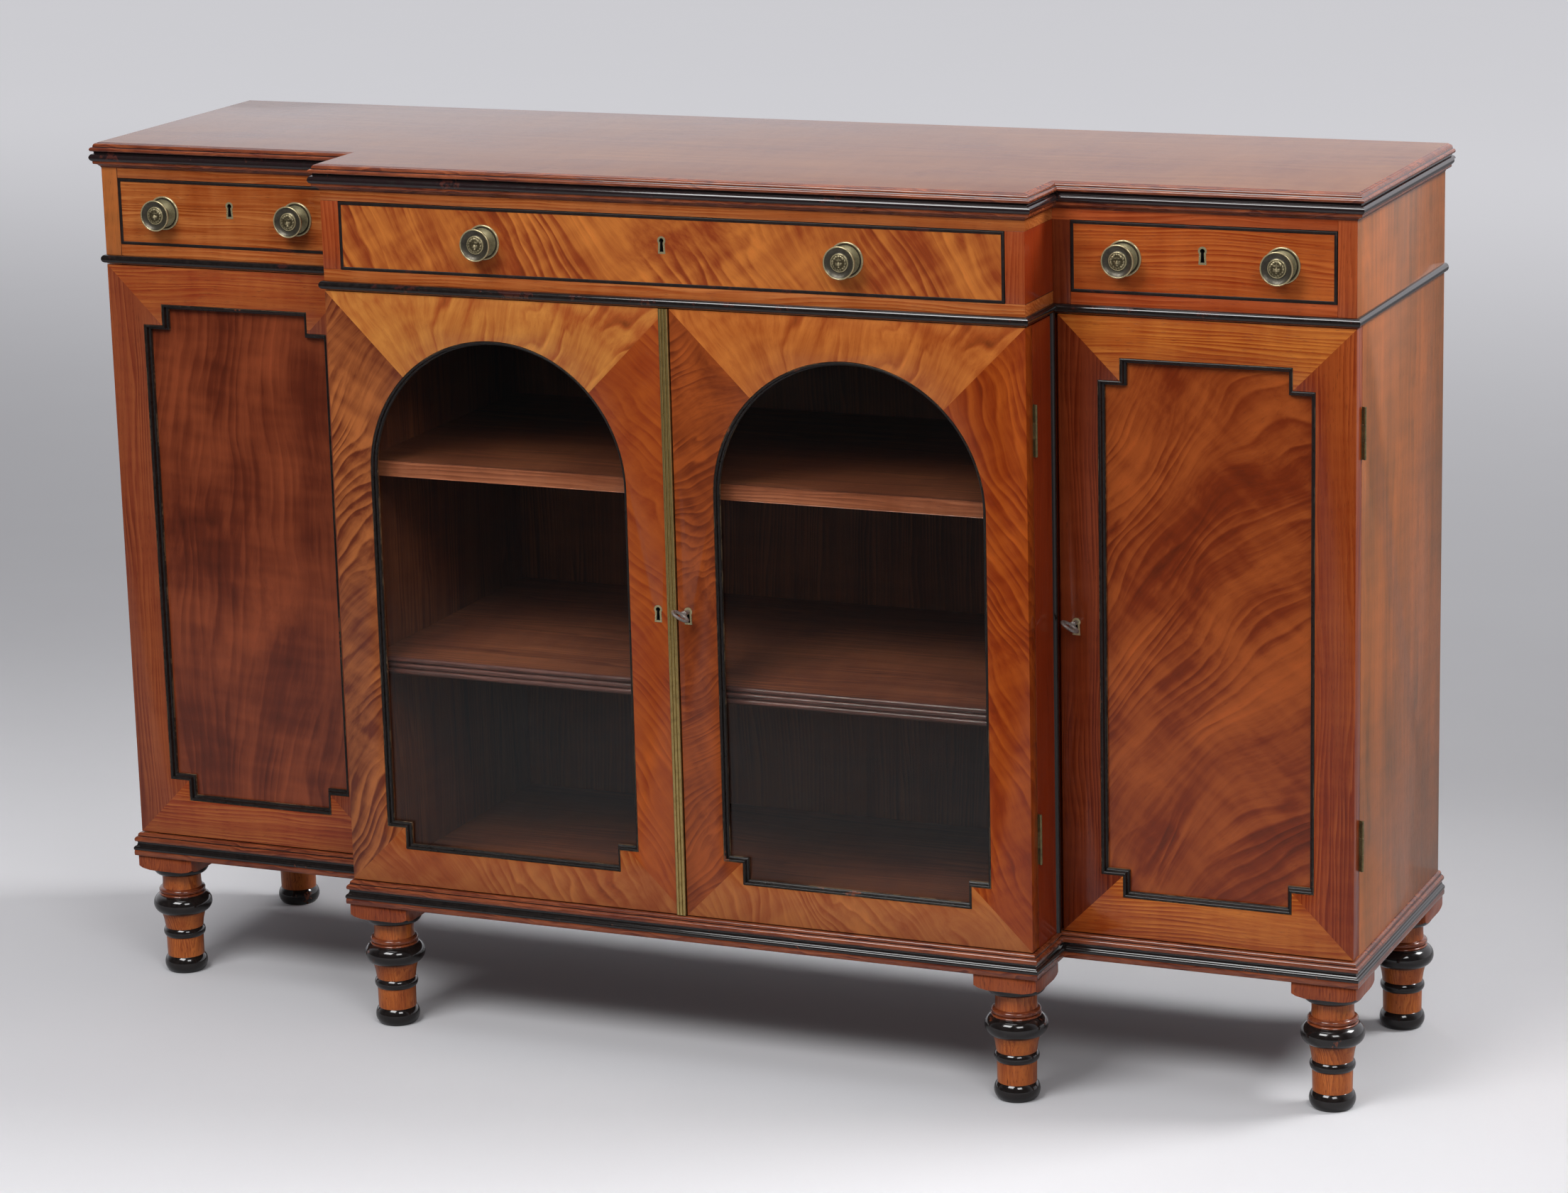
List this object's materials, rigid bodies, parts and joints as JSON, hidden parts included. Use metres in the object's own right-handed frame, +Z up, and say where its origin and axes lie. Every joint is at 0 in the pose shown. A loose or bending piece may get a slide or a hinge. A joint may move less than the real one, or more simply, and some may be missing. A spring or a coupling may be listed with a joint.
{
  "type": "breakfront side cabinet",
  "caption": "Low breakfront mahogany side cabinet with frieze drawers, panelled wing doors, a pair of arched glazed centre doors, ebonised mouldings and turned legs.",
  "frame": {"origin": "on the floor, under the middle of the bounding box", "axes": "+Z up, -Y towards the front with the doors and drawers, +X to the right of someone facing the front"},
  "size_m": [1.3846, 0.4238, 0.92],
  "materials": {
    "mahogany": "polished, orange-brown",
    "flame_panel": "polished, dark red-brown flame figure",
    "leg_wood": "polished, with ebonised rings",
    "ebonised_wood": "black polish, worn to red-brown on edges",
    "inner_wood": "bare, aged",
    "brass": "aged",
    "steel": "dull, dark",
    "glass": "clear"
  },
  "bodies": {
    "case": {"top_board": "mahogany", "cornice_moulding": "ebonised_wood", "end_left": "mahogany", "end_right": "mahogany", "partition_left": "mahogany", "partition_right": "mahogany", "bottom_board": "mahogany", "divider_board": "mahogany", "front_frame": "mahogany", "back_panel": "inner_wood", "waist_moulding": "ebonised_wood", "plinth_moulding": "ebonised_wood", "shelf_upper": "mahogany", "shelf_lower": "mahogany", "leg_front_left": "leg_wood", "leg_centre_left": "leg_wood", "leg_centre_right": "leg_wood", "leg_front_right": "leg_wood", "leg_back_left": "leg_wood", "leg_back_right": "leg_wood", "hinge_wing_left_lower_fixed": "brass", "hinge_wing_left_upper_fixed": "brass", "hinge_wing_right_lower_fixed": "brass", "hinge_wing_right_upper_fixed": "brass", "hinge_arch_left_lower_fixed": "brass", "hinge_arch_left_upper_fixed": "brass", "hinge_arch_right_lower_fixed": "brass", "hinge_arch_right_upper_fixed": "brass"},
    "left_drawer": {"drawer_left": "mahogany", "knob_left_a": "brass", "knob_left_b": "brass"},
    "centre_drawer": {"drawer_centre": "mahogany", "knob_centre_a": "brass", "knob_centre_b": "brass"},
    "right_drawer": {"drawer_right": "mahogany", "knob_right_a": "brass", "knob_right_b": "brass"},
    "wing_left_door": {"door_wing_left": "mahogany", "moulding_wing_left": "ebonised_wood", "panel_wing_left": "flame_panel", "hinge_wing_left_lower_door": "brass", "hinge_wing_left_upper_door": "brass"},
    "wing_right_door": {"door_wing_right": "mahogany", "moulding_wing_right": "ebonised_wood", "panel_wing_right": "flame_panel", "hinge_wing_right_lower_door": "brass", "hinge_wing_right_upper_door": "brass"},
    "arch_left_door": {"door_arch_left": "mahogany", "moulding_arch_left": "ebonised_wood", "glass_arch_left": "glass", "hinge_arch_left_lower_door": "brass", "hinge_arch_left_upper_door": "brass", "meeting_strip": "brass"},
    "arch_right_door": {"door_arch_right": "mahogany", "moulding_arch_right": "ebonised_wood", "glass_arch_right": "glass", "hinge_arch_right_lower_door": "brass", "hinge_arch_right_upper_door": "brass"},
    "wing_key": {"key_wing_right": "steel"},
    "arch_key": {"key_arch_right": "steel"}
  },
  "joints": [
    {"name": "left_drawer_slide", "type": "slide", "parent": "case", "child": "left_drawer", "axis": [0, -1, 0], "range_m": [0, 0.2]},
    {"name": "centre_drawer_slide", "type": "slide", "parent": "case", "child": "centre_drawer", "axis": [0, -1, 0], "range_m": [0, 0.27]},
    {"name": "right_drawer_slide", "type": "slide", "parent": "case", "child": "right_drawer", "axis": [0, -1, 0], "range_m": [0, 0.2]},
    {"name": "wing_left_door_hinge", "type": "hinge", "parent": "case", "child": "wing_left_door", "pos_m": [-0.6858, -0.0877, 0.4767], "axis": [0, 0, -1], "range_deg": [0, 180]},
    {"name": "wing_right_door_hinge", "type": "hinge", "parent": "case", "child": "wing_right_door", "pos_m": [0.6858, -0.0877, 0.4767], "axis": [0, 0, 1], "range_deg": [0, 180]},
    {"name": "arch_left_door_hinge", "type": "hinge", "parent": "case", "child": "arch_left_door", "pos_m": [-0.3818, -0.1657, 0.4767], "axis": [0, 0, -1], "range_deg": [0, 180]},
    {"name": "arch_right_door_hinge", "type": "hinge", "parent": "case", "child": "arch_right_door", "pos_m": [0.3818, -0.1657, 0.4767], "axis": [0, 0, 1], "range_deg": [0, 180]},
    {"name": "wing_key_turn", "type": "hinge", "parent": "wing_right_door", "child": "wing_key", "pos_m": [0.3999, -0.107, 0.483], "axis": [0, -1, 0], "range_deg": [-60, 300]},
    {"name": "arch_key_turn", "type": "hinge", "parent": "arch_right_door", "child": "arch_key", "pos_m": [0.0165, -0.185, 0.483], "axis": [0, -1, 0], "range_deg": [-60, 300]}
  ]
}
